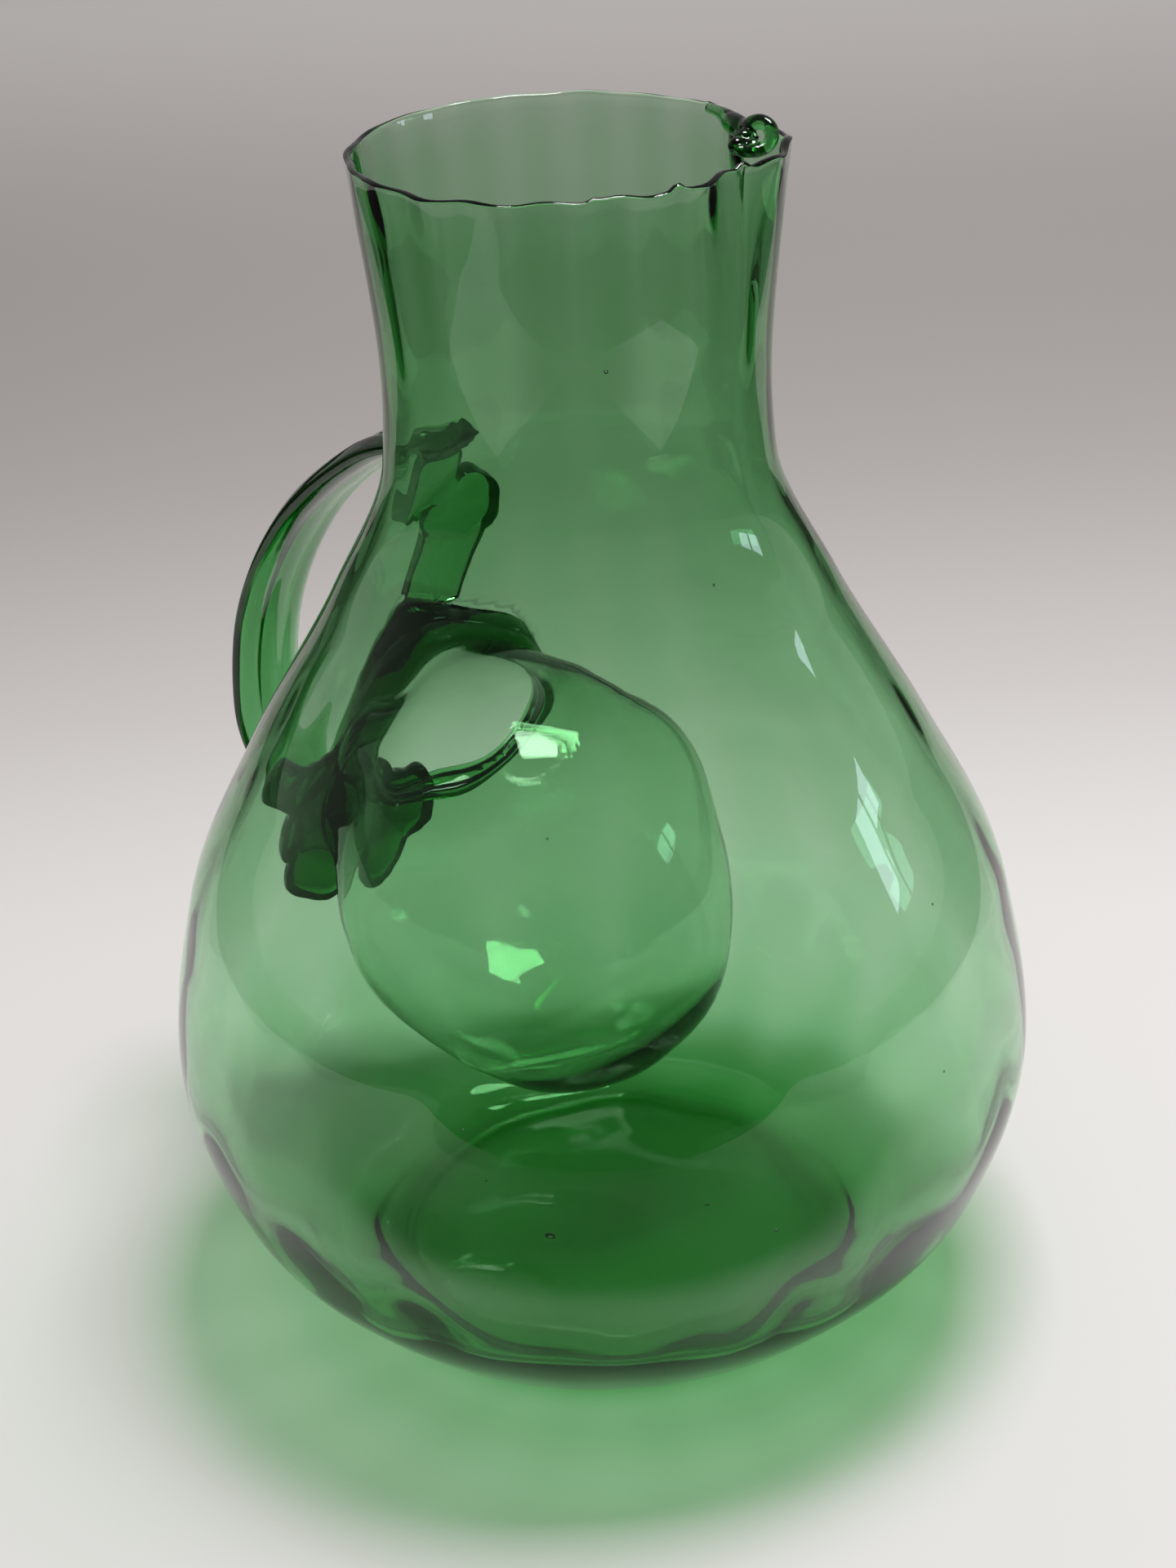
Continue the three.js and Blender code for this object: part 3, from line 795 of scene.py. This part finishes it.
# The pouring lip: the rim's folded edge curls over once and tucks back, with a tongue of glass inside the
# curl. Each spot is given in millimetres from the middle of the foot.
LIP_CURL = ((29.9, 26.5, 269.4), (32.7, 18, 269.9), (35.0, 13, 269.5), (36.4, 9, 269.5),
            (37.6, 7.2, 270.7), (39.1, 5.8, 271.2), (40.6, 4.4, 270.6), (41.1, 3, 269.0),
            (40.1, 1.6, 267.4), (37.8, 0.6, 266.7), (35.0, -0.4, 267.1), (33.2, -1, 268))
LIP_TONGUE = ((31.6, 21, 269.2), (34.6, 13, 269.0), (36.8, 8.3, 268.4), (38.4, 5, 268.0))
LIP_CLOTS = (((35.6, 5.5, 267.9), 2.2), ((34.0, 2.5, 267.4), 1.9),
             ((37.2, 2.8, 267.0), 1.8), ((35.4, 9, 267.8), 1.6))
LIP_BEAD_RADIUS = 1.65 * MM
# The way the bead's section faces
LIP_SIDE = Vector((0.2, 1, 0.3))


class JUG_OT_roll_lip(bpy.types.Operator):
    """Fold the pouring lip's edge and curl it back on itself"""

    bl_idname = "jug.roll_lip"
    bl_label = "Roll the Pouring Lip"

    def execute(self, context):
        def bead(spots, radius, start, end):
            path = Path(smooth_path([Vector(spot) * MM for spot in spots]))
            rod = pulled(circle_section(radius), steps=120, segments=24)

            def width(t):
                grown = start + (1 - start) * smoothstep(t / 0.45)
                drawn = 1 - (1 - end) * smoothstep((t - 0.55) / 0.45)
                tip = sqrt(max(0.01, min(1.0, (1 - t) / 0.04)))
                return grown * drawn * tip

            bend_along(rod, path, LIP_SIDE, width)
            return rod

        bm = bead(LIP_CURL, LIP_BEAD_RADIUS, 0.7, 0.75)
        add_into(bm, bead(LIP_TONGUE, 1.4 * LIP_BEAD_RADIUS, 0.4, 0.3))
        for spot, radius in LIP_CLOTS:
            lump(bm, Vector(spot) * MM, Vector((0, 0, 1)), Vector((1, 0, 0)), (radius * MM,) * 3)
        melted = fuse(bm, voxel=0.3 * MM, smoothing=4)
        finish_piece("spout_lip_glass", melted, clotted_glass(), ["spout_lip"])
        return {"FINISHED"}


# The ice pocket and the ring round its mouth. The pocket is fullest at this share of the way to its tip.
POCKET_FULLEST = 0.42
POCKET_MOUTH_WALL = 2.4 * MM
POCKET_SWAY = 1.5 * MM
POCKET_RIPPLE = 0.45 * MM
# Where the pocket starts behind the mouth, inside the ring
POCKET_SEAT = 5.4 * MM
# How far the ring stands in front of the wall and behind it, and the side where more glass ran together
COLLAR_FRONT = 2.0 * MM
COLLAR_BACK = 6.4 * MM
COLLAR_THICK_SIDE = radians(40)


def pocket_profile(pocket, length_inside, mouth_wall):
    """The pocket's section against the distance along its middle line: out to the tip and back inside"""
    def swelling(t, wall, mouth_thick):
        start = pocket.neck_radius - mouth_thick
        return start + (pocket.radius - wall - start) * sin(pi / 2 * t)

    def line(wall, tip_wall, mouth_thick):
        end = 1 - wall / length_inside
        points = []
        for i in range(34):
            points.append((swelling(i / 34, wall, mouth_thick), POCKET_FULLEST * i / 34))
        for i in range(49):
            sweep = pi / 2 * i / 48
            thicker = (tip_wall - wall) / length_inside * smoothstep((i / 48 - 0.5) / 0.5)
            u = POCKET_FULLEST + (end - POCKET_FULLEST) * sin(sweep) - thicker
            points.append(((pocket.radius - wall) * cos(sweep) if i < 48 else 0.0, u))
        return points

    return line(0.0, 0.0, 0.0) + line(pocket.wall, pocket.tip_wall, mouth_wall)[::-1]


class JUG_OT_blow_pocket(bpy.types.Operator):
    """Blow the thin ice pocket that hangs inside the jug"""

    bl_idname = "jug.blow_pocket"
    bl_label = "Blow the Ice Pocket"

    def execute(self, context):
        pocket = context.scene.jug_pocket
        vessel = Vessel(context.scene.jug_sizes)
        mouth = Mouth(vessel, pocket)
        inward = -vessel.direction(pocket.heading)
        base = mouth.centre - mouth.axis * POCKET_SEAT
        tip = mouth.centre + inward * pocket.reach + Vector((0, 0, -pocket.drop))
        bend = base - mouth.axis * pocket.reach / 2
        spine = Path([base * (1 - t) ** 2 + bend * (2 * t * (1 - t)) + tip * t * t
                      for t in (i / 200 for i in range(201))])
        bm = spun(pocket_profile(pocket, spine.length, POCKET_MOUTH_WALL), steps=150, close_line=True)
        for vert in bm.verts:
            r, angle = hypot(vert.co.x, vert.co.y), atan2(vert.co.y, vert.co.x)
            u = vert.co.z
            centre, along = spine.at(min(max(u, 0.0), 1.0) * spine.length)
            across = (mouth.across - along * mouth.across.dot(along)).normalized()
            up = across.cross(along)
            follow = (1 - smoothstep(u / POCKET_FULLEST)) ** 2
            rise = mouth.rise(min(r, pocket.collar_radius), angle) if follow > 0 else 0.0
            out = across * cos(angle) + up * sin(angle)
            spot = centre + out * r + mouth.axis * (follow * rise)
            hang = smoothstep(u / 0.35)
            sway = POCKET_SWAY * wobble(spot, 46 * MM, 2.0) + POCKET_RIPPLE * wobble(spot, 15 * MM, 9.0)
            vert.co = spot + out * (hang * sway)
        face_outwards(bm)
        finish_piece("ice_pocket_glass", bm, thin_glass(), ["ice_pocket"])
        return {"FINISHED"}


class JUG_OT_lay_collar(bpy.types.Operator):
    """Lay the thick ring of glass that joins the pocket's mouth to the back wall"""

    bl_idname = "jug.lay_collar"
    bl_label = "Lay the Mouth Collar"

    def execute(self, context):
        pocket = context.scene.jug_pocket
        mouth = Mouth(Vessel(context.scene.jug_sizes), pocket)
        width = pocket.collar_radius - pocket.mouth_radius
        # The ring's section is round with square shoulders
        section = []
        corners = 28
        for i in range(corners):
            a = 2 * pi * i / corners
            squarish = 1 / max(abs(cos(a)), abs(sin(a))) ** 0.35
            across = 0.97 * width / 2 * cos(a) * squarish / 1.12
            through = (COLLAR_FRONT + COLLAR_BACK) / 2 * sin(a) * squarish / 1.12
            section.append((pocket.mouth_radius + width / 2 + across,
                            (COLLAR_FRONT - COLLAR_BACK) / 2 + through))
        bm = spun(section, steps=140, close_line=True)
        for vert in bm.verts:
            r, angle = hypot(vert.co.x, vert.co.y), atan2(vert.co.y, vert.co.x)
            upper_left = cos(angle - COLLAR_THICK_SIDE)
            inner = pocket.mouth_radius + (1.9 - 3.0 * upper_left) * MM
            outer = collar_edge(pocket, angle)
            r = outer - (outer - inner) * (pocket.collar_radius - r) / width
            deep = vert.co.z * (1.22 + 0.22 * upper_left if vert.co.z < 0 else 1.0)
            swell = 0.5 * MM * wobble(mouth.place(r, angle, 0), 14 * MM, 4.0)
            vert.co = mouth.place(r + swell * (r < (inner + outer) / 2), angle,
                                  mouth.rise(r, angle) + deep + swell * 0.6)
        face_outwards(bm)
        finish_piece("pocket_collar_glass", bm, clotted_glass(), ["pocket_collar"])
        return {"FINISHED"}


# The handle. Its bow goes by the share of the way down between its seats, and the share of its standoff.
STRAP_BOW = ((0, 0.02), (0.08, 0.55), (0.27, 1), (0.52, 1.06), (0.77, 0.8), (0.9, 0.5), (0.98, 0.17),
             (1.07, 0.05))
# How deep the pieces on the wall are sunk into it, so that they look fused
STRAP_SUNK = 0.4 * MM
SEAT_SUNK = 0.5 * MM


def strap_path(vessel, handle):
    """From the upper seat, bowed out from the wall, to the lower seat"""
    points = []
    for down, out in STRAP_BOW:
        z = handle.top + (handle.bottom - handle.top) * down
        spot = vessel.direction(handle.heading) * (vessel.radius(z) + out * handle.standoff)
        spot.z = z
        points.append(spot)
    return Path(smooth_path(points))


def strap_section(handle):
    """A flat strap with rounded edges and three pulled ridges on its outer face"""
    def section(angle):
        x = cos(angle)
        across = squared(x, 0.75)
        body = squared(sin(angle), 0.8) * handle.thickness / 2
        ridge = handle.ridge * cos(3 * pi * across) * abs(sin(angle))
        return across * handle.width / 2, body + (ridge if body > 0 else -0.35 * ridge)

    return section


class JUG_OT_pull_handle(bpy.types.Operator):
    """Pull the ridged strap and bow it from neck to belly"""

    bl_idname = "jug.pull_handle"
    bl_label = "Pull the Handle Strap"

    def execute(self, context):
        handle = context.scene.jug_handle
        vessel = Vessel(context.scene.jug_sizes)
        bm = pulled(strap_section(handle), steps=150, segments=72)
        for vert in bm.verts:
            # It spreads a little towards its low end, which is then drawn down thin
            down = vert.co.z
            spread = 0.03 * sin(5 * down) + 0.1 * smoothstep((down - 0.8) / 0.15)
            end = smoothstep((down - 0.93) / 0.07)
            vert.co.x *= 1 + spread - 0.35 * end
            uneven = 0.06 * wobble(Vector((vert.co.x, vert.co.y, down * 0.12)), 12 * MM)
            vert.co.y *= 1 + uneven - 0.5 * end
        side = vessel.direction(handle.heading + pi / 2)
        bend_along(bm, strap_path(vessel, handle), side)
        press_on_wall(bm, vessel, STRAP_SUNK, close_gap=2.5 * MM)
        finish_piece("handle_strap_glass", bm, worked_glass(), ["handle_strap"])
        return {"FINISHED"}


# The upper tail. A run's spots are its heading in degrees, its height and its distance off the wall in
# millimetres. The band runs down to the mouth's ring, and the lobes are the strap's end, pressed on the neck.
TAIL_BAND = ((32.5, 178, 1.7), (32.2, 174, 1.7), (31.8, 168, 1.7), (32, 158, 1.7), (31.8, 146, 1.7))
TAIL_LOBES = (((41, 195.5, 1.2), (41.5, 189.5, 2.8), (42, 179, 2.2)),
              ((46.5, 197.5, 1.2), (46.5, 191, 3.0), (46, 178, 2.4)),
              ((52, 194.5, 1.2), (52, 189.5, 2.8), (51, 179, 1.8)),
              ((38, 188, 1.8), (44.5, 188, 2.4), (51.5, 188, 1.8)),
              ((38, 182, 1.8), (44.5, 182, 2.2), (50.5, 183, 1.6)))
TAIL_LOBE_RADIUS = 3.3 * MM
# The curl's lumps: heading, height, then radii across, tall and thick
TAIL_CURL = ((32.5, 177, 9.8, 11, 10), (28.5, 174, 6.5, 10, 9), (36.5, 179, 6, 7, 8))
TAIL_HALF_WIDTH = 8 * MM
TAIL_HALF_THICKNESS = 2.3 * MM
TAIL_RIDGE = 0.12 * MM
# A paddle flattened what stood higher off the wall than this, by this share of the rest
TAIL_PADDLED = 4.2 * MM
PADDLED_SHARE = 0.9


def tail_section(angle):
    """A flat band with soft ridges on its outer face"""
    across = squared(cos(angle), 0.7)
    body = squared(sin(angle), 0.5) * TAIL_HALF_THICKNESS
    ridge = TAIL_RIDGE * cos(3 * pi * across) * abs(sin(angle))
    return across * TAIL_HALF_WIDTH, body - ridge


class JUG_OT_lay_upper_tail(bpy.types.Operator):
    """Press the strap's top end on the neck, curl its tail and lay it down the shoulder"""

    bl_idname = "jug.lay_upper_tail"
    bl_label = "Lay the Upper Tail"

    def execute(self, context):
        vessel = Vessel(context.scene.jug_sizes)

        def laid(spots, section, width):
            rod = pulled(section, steps=60, segments=48)
            lay_on_wall(rod, vessel, spots, width)
            return rod

        bm = laid(TAIL_BAND, tail_section, lambda t, _: 1.1 - 0.1 * smoothstep(t / 0.6))
        for spots in TAIL_LOBES:
            add_into(bm, laid(spots, circle_section(TAIL_LOBE_RADIUS), round_ends(TAIL_LOBE_RADIUS)))
        for turn, z, *radii in TAIL_CURL:
            lump_on_wall(bm, vessel, radians(turn), z * MM, radii)
        melted = fuse(bm, voxel=0.5 * MM, smoothing=6)
        for vert in melted.verts:
            depth, normal = vessel.depth(vert.co)
            vert.co -= normal * PADDLED_SHARE * max(0.0, depth - TAIL_PADDLED)
        press_on_wall(melted, vessel, SEAT_SUNK, close_gap=1.2 * MM)
        finish_piece("handle_upper_tail_glass", melted, worked_glass(),
                     ["handle_upper_tail"])
        return {"FINISHED"}


# The lower pad's lobes: degrees from the handle, height above its seat, then radii across, tall and thick
PAD_LOBES = ((0, 0, 15, 15, 10), (-9, -3, 12, 15, 11), (-15, -3, 8, 12, 8), (-9, -15, 10, 11, 8),
             (3, -11, 9, 9, 7), (2, 12, 10, 9, 7.5), (7, 15, 9, 8, 7), (11, 19, 7, 7, 5),
             (7, 3, 9, 10, 7.5), (-3, 11, 10, 9, 7.5))
PAD_UNEVENNESS = 0.6 * MM


class JUG_OT_press_lower_pad(bpy.types.Operator):
    """Press the strap's low end out in lobes on the belly"""

    bl_idname = "jug.press_lower_pad"
    bl_label = "Press the Lower Pad"

    def execute(self, context):
        handle = context.scene.jug_handle
        vessel = Vessel(context.scene.jug_sizes)
        bm = bmesh.new()
        for turn, up, *radii in PAD_LOBES:
            lump_on_wall(bm, vessel, handle.heading + radians(turn), handle.bottom + up * MM, radii)
        melted = fuse(bm, voxel=0.7 * MM, smoothing=22)
        for vert in melted.verts:
            _, normal = vessel.depth(vert.co)
            vert.co += normal * (PAD_UNEVENNESS * wobble(vert.co, 9 * MM, 6.0))
        press_on_wall(melted, vessel, SEAT_SUNK, close_gap=2 * MM)
        finish_piece("handle_lower_pad_glass", melted, clotted_glass(),
                     ["handle_lower_pad"])
        return {"FINISHED"}


# Stage, light and camera
CAMERA_PLACE = Vector((-1.1, -533.9, 407.2)) * MM
CAMERA_PITCH = radians(27.79)
CAMERA_ROLL = radians(2.38)
LONG_SIDE_PIXELS = 1920
FOCAL_PIXELS = 3300
# The paper lies just under the foot, so that the two don't share a plane
PAPER_DROP = 0.2 * MM
PAPER_HALF_SIZE = 6
# Each lamp's place, the spot it faces, its width and depth, all in metres, its power in watts and its colour
LAMPS = {
    "overhead_softbox": ((0.2, 0.11, 1.3), (0.2, 0.12, 0), 0.5, 0.42, 13, "#FFFFFF"),
    "side_softbox_front": ((1.7, 0.1, 0.4), (0, 0.1, 0.4), 0.17, 0.13, 0.35, "#DDF0FF"),
    "side_softbox_back": ((1.7, 0.3, 0.4), (0, 0.3, 0.4), 0.17, 0.13, 0.35, "#DDF0FF"),
}


def soft_lamp(name, place, aim, width, depth, watts, colour):
    lamp = bpy.data.lights.new(name, "AREA")
    lamp.shape = "RECTANGLE"
    lamp.size, lamp.size_y = width, depth
    lamp.energy = watts
    lamp.color = linear(colour)[:3]
    holder = new_object(name, lamp)
    holder.location = place
    holder.rotation_euler = (Vector(aim) - Vector(place)).to_track_quat("-Z", "Y").to_euler()


def studio_light():
    """Dim soft light, brighter towards the back. Straight sight, also through glass, meets a pale backdrop"""
    world = bpy.data.worlds.new("Soft studio light")
    world.use_nodes = True
    tree = world.node_tree
    tree.nodes.clear()
    towards = add_node(tree, "TexCoord").outputs["Generated"]
    side = add_node(tree, "SeparateXYZ", {"Vector": towards})
    back = add_node(tree, "MapRange", {"Value": side.outputs["Y"]},
                    interpolation_type="SMOOTHSTEP",
                    in_From_Min=-0.4, in_From_Max=0.9, in_To_Min=0.1, in_To_Max=0.42)
    high = add_node(tree, "MapRange", {"Value": side.outputs["Z"]},
                    in_From_Min=0.0, in_From_Max=1.0, in_To_Min=1.0, in_To_Max=0.55)
    strength = add_node(tree, "Math", {0: back, 1: high}, operation="MULTIPLY")
    path = add_node(tree, "LightPath")
    plain = add_node(tree, "Mix", {0: path.outputs["Is Diffuse Ray"], 2: strength}, in_3=0.36)
    lit = add_node(tree, "Background", {"Strength": plain}, in_Color=linear("#F4F1EF"))

    not_mirrored = add_node(tree, "Math", {0: path.outputs["Glossy Depth"]},
                            operation="LESS_THAN", in_1=0.5)
    through = add_node(tree, "Math", {0: path.outputs["Is Transmission Ray"], 1: not_mirrored},
                       operation="MULTIPLY")
    seen = add_node(tree, "Math", {0: path.outputs["Is Camera Ray"], 1: through}, operation="MAXIMUM")
    shown = add_node(tree, "Background", in_Color=linear("#C9C3C1"), in_Strength=1.0)
    mixed = add_node(tree, "MixShader", {0: seen, 1: lit, 2: shown})
    add_node(tree, "OutputWorld", {"Surface": mixed})
    bpy.context.scene.world = world


class JUG_OT_set_stage(bpy.types.Operator):
    """Set the pale floor, the soft lamps and the camera"""

    bl_idname = "jug.set_stage"
    bl_label = "Set the Stage"

    def execute(self, context):
        scene = context.scene
        bm = bmesh.new()
        bmesh.ops.create_grid(bm, x_segments=1, y_segments=1, size=PAPER_HALF_SIZE)
        floor = new_object("paper_floor", new_mesh("paper_floor", bm))
        floor.data.materials.append(paper_floor())
        floor.location.z = -PAPER_DROP

        studio_light()
        for name, settings in LAMPS.items():
            soft_lamp(name, *settings)

        camera = bpy.data.cameras.new("camera")
        camera.sensor_width = 36
        camera.lens = FOCAL_PIXELS / LONG_SIDE_PIXELS * camera.sensor_width
        holder = new_object("camera", camera)
        forward = Vector((0, cos(CAMERA_PITCH), -sin(CAMERA_PITCH)))
        level_up = Vector((0, sin(CAMERA_PITCH), cos(CAMERA_PITCH)))
        level_right = Vector((1, 0, 0))
        right = level_right * cos(CAMERA_ROLL) - level_up * sin(CAMERA_ROLL)
        up = level_right * sin(CAMERA_ROLL) + level_up * cos(CAMERA_ROLL)
        pose = Matrix((right, up, -forward)).transposed().to_4x4()
        pose.translation = CAMERA_PLACE
        holder.matrix_world = pose
        scene.camera = holder

        scene.view_settings.view_transform = "Standard"
        scene.cycles.max_bounces = 32
        scene.cycles.transmission_bounces = 32
        scene.cycles.transparent_max_bounces = 48
        scene.cycles.glossy_bounces = 6
        scene.cycles.diffuse_bounces = 3
        scene.cycles.caustics_refractive = False
        scene.cycles.caustics_reflective = False
        return {"FINISHED"}


STEPS = (
    JUG_OT_set_stage,
    JUG_OT_blow_body,
    JUG_OT_roll_lip,
    JUG_OT_blow_pocket,
    JUG_OT_lay_collar,
    JUG_OT_pull_handle,
    JUG_OT_lay_upper_tail,
    JUG_OT_press_lower_pad,
)
GROUPS = {"jug_sizes": JugSizes, "jug_pocket": PocketSizes, "jug_handle": HandleSizes, "jug_glass": GlassLook}


class JUG_PT_panel(bpy.types.Panel):
    """Lists the steps that make the jug, and its main sizes"""

    bl_idname = "JUG_PT_panel"
    bl_label = "Glass Cooling Jug"
    bl_space_type = "VIEW_3D"
    bl_region_type = "UI"
    bl_category = "Jug"

    def draw(self, context):
        for step in STEPS:
            self.layout.operator(step.bl_idname)
        for group in GROUPS:
            settings = getattr(context.scene, group)
            column = self.layout.column(align=True)
            for name in settings.__annotations__:
                column.prop(settings, name)


def register():
    for group in GROUPS.values():
        bpy.utils.register_class(group)
    for name, group in GROUPS.items():
        setattr(bpy.types.Scene, name, bpy.props.PointerProperty(type=group))
    for step in STEPS:
        bpy.utils.register_class(step)
    bpy.utils.register_class(JUG_PT_panel)


def unregister():
    bpy.utils.unregister_class(JUG_PT_panel)
    for step in reversed(STEPS):
        bpy.utils.unregister_class(step)
    for name, group in GROUPS.items():
        delattr(bpy.types.Scene, name)
        bpy.utils.unregister_class(group)


def main():
    register()
    bpy.ops.jug.set_stage()
    bpy.ops.jug.blow_body()
    bpy.ops.jug.roll_lip()
    bpy.ops.jug.blow_pocket()
    bpy.ops.jug.lay_collar()
    bpy.ops.jug.pull_handle()
    bpy.ops.jug.lay_upper_tail()
    bpy.ops.jug.press_lower_pad()


if __name__ == "__main__":
    main()
